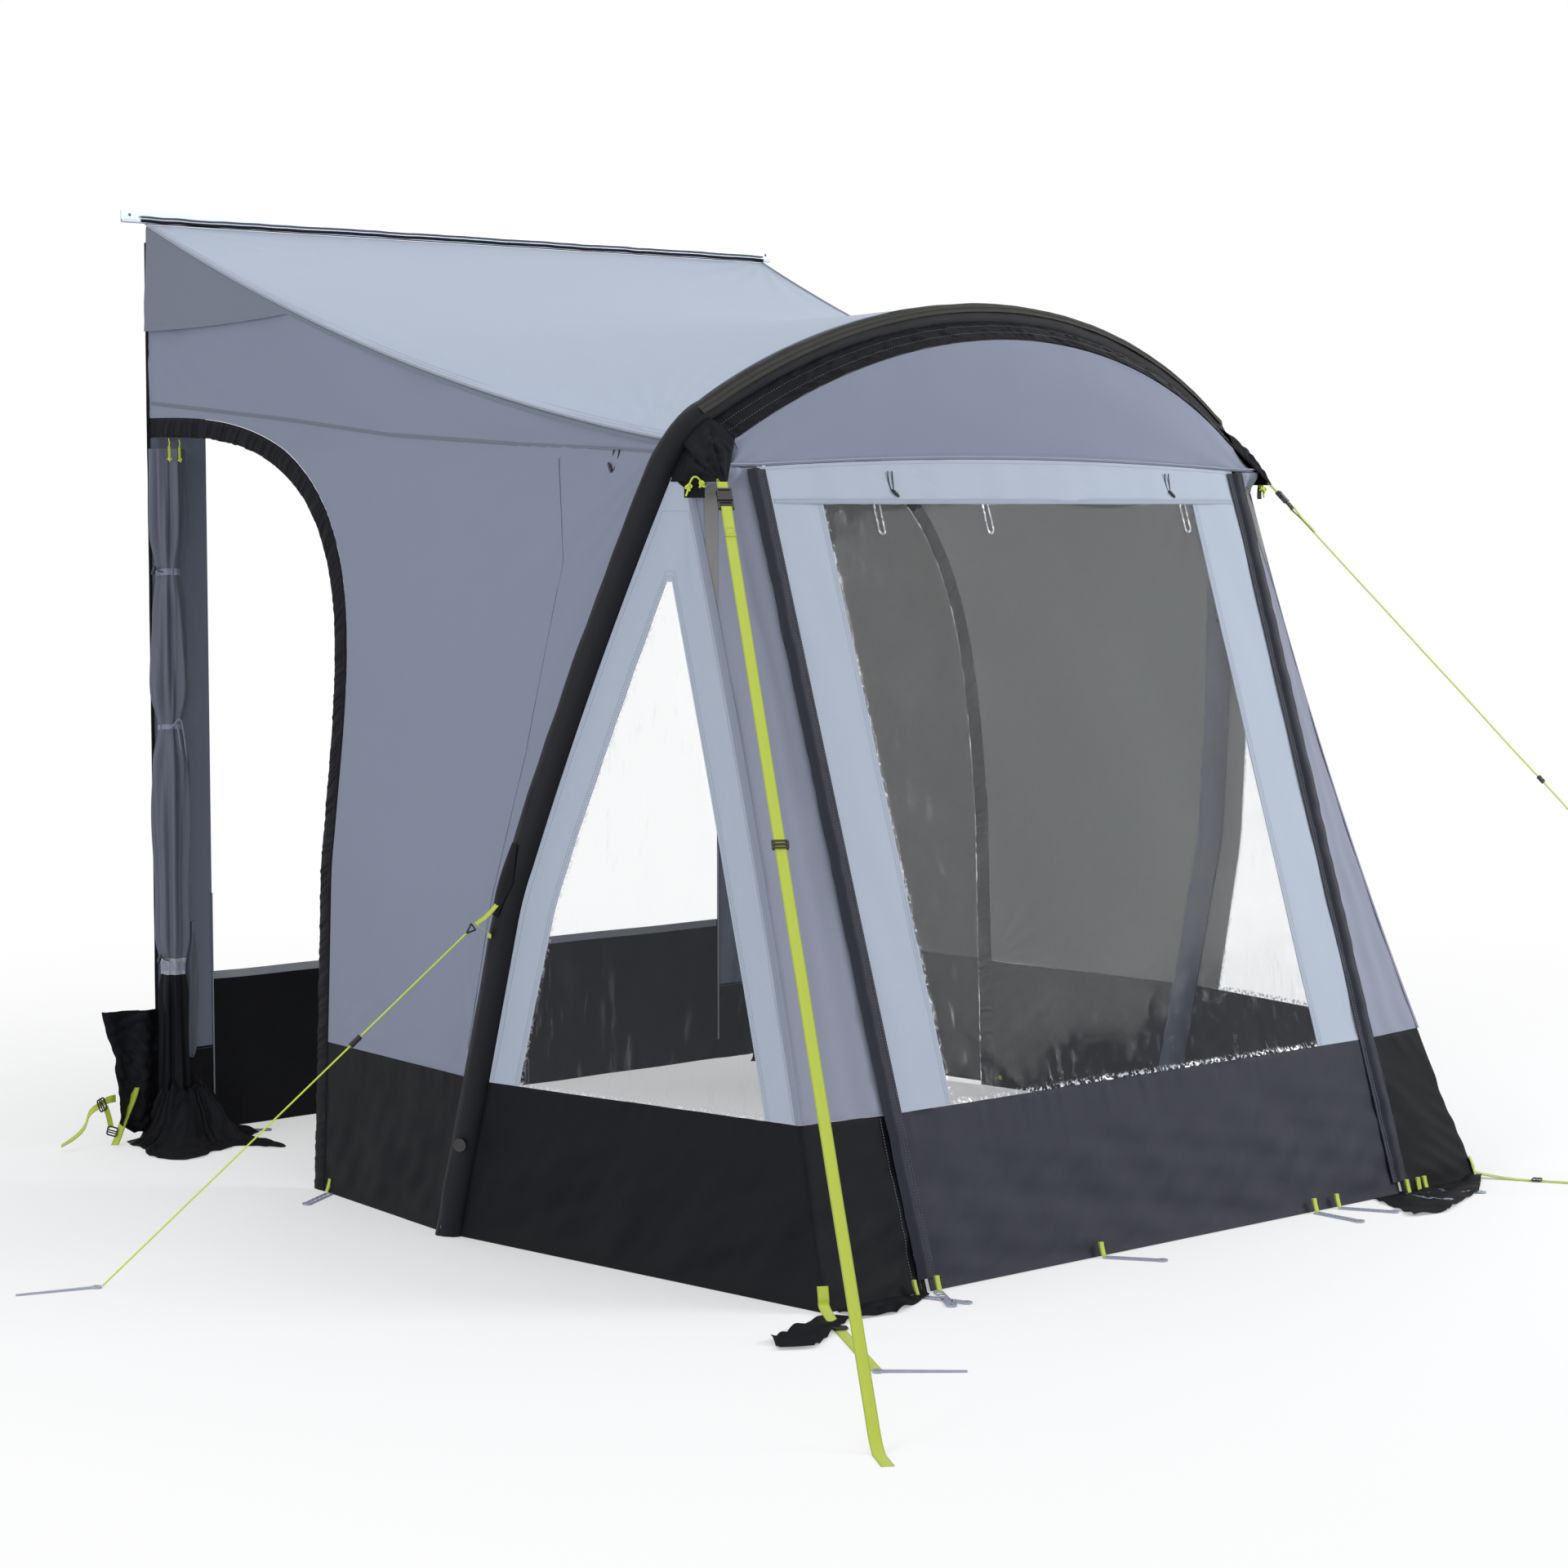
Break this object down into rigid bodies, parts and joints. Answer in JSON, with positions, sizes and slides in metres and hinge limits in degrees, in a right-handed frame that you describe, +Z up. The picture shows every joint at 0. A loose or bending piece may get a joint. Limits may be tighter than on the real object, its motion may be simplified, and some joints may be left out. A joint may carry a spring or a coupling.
{
  "type": "inflatable caravan awning",
  "caption": "Air-framed caravan awning: leaning arch, saddle roof to a wall rail, arched side doors, clear windows, zip-out front, storm straps and guy line.",
  "frame": {"origin": "on the ground, under the middle of the box round the awning and its storm straps; the guy line is left out of that box", "axes": "+Z up, -Y towards the front panel, +Y towards the caravan's wall at y = 1.8664, X along the caravan, to the right as seen from the front"},
  "size_m": [4.2101, 3.7328, 2.5246],
  "materials": {
    "pale_cloth": "coated woven polyester, light blue-grey",
    "grey_cloth": "coated woven polyester, blue-grey",
    "dark_cloth": "coated woven polyester, near black",
    "clear_film": "clear flexible film",
    "lime_webbing": "woven webbing and cord, lime",
    "black_plastic": "moulded, satin",
    "grey_plastic": "moulded, half clear grey",
    "rail_alloy": "satin",
    "tube_film": "flexible air tube"
  },
  "bodies": {
    "awning": {"roof_panel": "pale_cloth", "bay_panel_left": "pale_cloth", "bay_panel_right": "pale_cloth", "side_wall_left": "grey_cloth", "side_wall_right": "grey_cloth", "rear_pillar_left": "grey_cloth", "rear_pillar_right": "grey_cloth", "door_curtain_left": "grey_cloth", "corner_panel_left": "grey_cloth", "corner_panel_right": "grey_cloth", "gable_panel": "grey_cloth", "roof_bead": "dark_cloth", "arch_sleeve": "dark_cloth", "gable_band": "dark_cloth", "door_trim_left": "dark_cloth", "door_trim_right": "dark_cloth", "band_rear_left": "dark_cloth", "band_rear_right": "dark_cloth", "band_side_left": "dark_cloth", "band_side_right": "dark_cloth", "draught_skirt": "dark_cloth", "rear_flap_left": "dark_cloth", "rear_flap_right": "dark_cloth", "strap_patch_left": "dark_cloth", "strap_patch_right": "dark_cloth", "bay_window_left": "clear_film", "bay_window_right": "clear_film", "storm_strap_left": "lime_webbing", "storm_strap_right": "lime_webbing", "corner_strap_left": "lime_webbing", "corner_strap_right": "lime_webbing", "guy_loop_left": "lime_webbing", "guy_line_left": "lime_webbing", "buckle_male_left": "black_plastic", "buckle_male_right": "black_plastic", "guy_ring_left": "black_plastic", "corner_peg_left": "grey_plastic", "corner_peg_right": "grey_plastic", "guy_peg_left": "grey_plastic", "air_tube": "tube_film"},
    "rail": {"awning_rail": "rail_alloy"},
    "front": {"front_panel": "pale_cloth", "front_window": "clear_film", "band_front": "dark_cloth", "zip_cover_left": "dark_cloth", "zip_cover_right": "dark_cloth"},
    "door_leaf": {"door_panel_right": "grey_cloth"},
    "door_slider": {"door_zip_slider_right": "black_plastic"},
    "front_slider_left": {"front_zip_slider_left": "black_plastic"},
    "front_slider_right": {"front_zip_slider_right": "black_plastic"},
    "valve_lid": {"valve_cap": "black_plastic"},
    "socket_left": {"buckle_female_left": "black_plastic"},
    "socket_right": {"buckle_female_right": "black_plastic"},
    "webbing_slider_left": {"strap_slider_left": "black_plastic"},
    "webbing_slider_right": {"strap_slider_right": "black_plastic"},
    "runner": {"guy_runner_left": "black_plastic"},
    "ladder_a": {"ladder_front_left": "grey_plastic"},
    "ladder_b": {"ladder_front_right": "grey_plastic"},
    "ladder_c": {"ladder_door_left": "grey_plastic"},
    "ladder_d": {"ladder_door_right": "grey_plastic"}
  },
  "joints": [
    {"name": "rail_feed", "type": "slide", "parent": "awning", "child": "rail", "axis": [1, 0, 0], "range_m": [0, 2.3]},
    {"name": "front_panel_swing", "type": "hinge", "parent": "awning", "child": "front", "pos_m": [0, -0.33035, 1.81962], "axis": [-1, 0, 0], "range_deg": [0, 85]},
    {"name": "door_right_swing", "type": "hinge", "parent": "awning", "child": "door_leaf", "pos_m": [1.1, 1.83242, 0], "axis": [0, 0, 1], "range_deg": [0, 95]},
    {"name": "door_zip_run", "type": "slide", "parent": "door_leaf", "child": "door_slider", "axis": [-0.0348, 0, 0.9994], "range_m": [-0.32, 0.32]},
    {"name": "front_zip_run_left", "type": "slide", "parent": "awning", "child": "front_slider_left", "axis": [0, 0.3065, 0.9519], "range_m": [0, 1.68]},
    {"name": "front_zip_run_right", "type": "slide", "parent": "awning", "child": "front_slider_right", "axis": [0, 0.3065, 0.9519], "range_m": [0, 1.68]},
    {"name": "valve_cap_hinge", "type": "hinge", "parent": "awning", "child": "valve_lid", "pos_m": [-1.28832, 0.19638, 0.246], "axis": [-0.5219, 0.853, 0], "range_deg": [0, 90]},
    {"name": "buckle_part_left", "type": "slide", "parent": "awning", "child": "socket_left", "axis": [0.3487, 0.5872, 0.7305], "range_m": [0, 0.0225]},
    {"name": "buckle_part_right", "type": "slide", "parent": "awning", "child": "socket_right", "axis": [-0.3487, 0.5872, 0.7305], "range_m": [0, 0.0225]},
    {"name": "strap_slider_run_left", "type": "slide", "parent": "awning", "child": "webbing_slider_left", "axis": [-0.3487, -0.5872, -0.7305], "range_m": [-0.55, 1]},
    {"name": "strap_slider_run_right", "type": "slide", "parent": "awning", "child": "webbing_slider_right", "axis": [0.3487, -0.5872, -0.7305], "range_m": [-0.55, 1]},
    {"name": "guy_runner_slide", "type": "slide", "parent": "awning", "child": "runner", "axis": [-0.7338, 0.2002, -0.6492], "range_m": [-0.12, 0.12]},
    {"name": "ladder_front_left_lift", "type": "hinge", "parent": "awning", "child": "ladder_a", "pos_m": [-0.88092, -0.92356, 0.00175], "axis": [-0.9578, -0.2873, 0], "range_deg": [0, 60]},
    {"name": "ladder_front_right_lift", "type": "hinge", "parent": "awning", "child": "ladder_b", "pos_m": [0.88092, -0.92356, 0.00175], "axis": [-0.9578, 0.2873, 0], "range_deg": [0, 60]},
    {"name": "ladder_door_left_lift", "type": "hinge", "parent": "awning", "child": "ladder_c", "pos_m": [-1.20991, 0.86612, 0.00175], "axis": [-0.5291, 0.8486, 0], "range_deg": [0, 60]},
    {"name": "ladder_door_right_lift", "type": "hinge", "parent": "awning", "child": "ladder_d", "pos_m": [1.20991, 0.86612, 0.00175], "axis": [-0.5291, -0.8486, 0], "range_deg": [0, 60]}
  ]
}
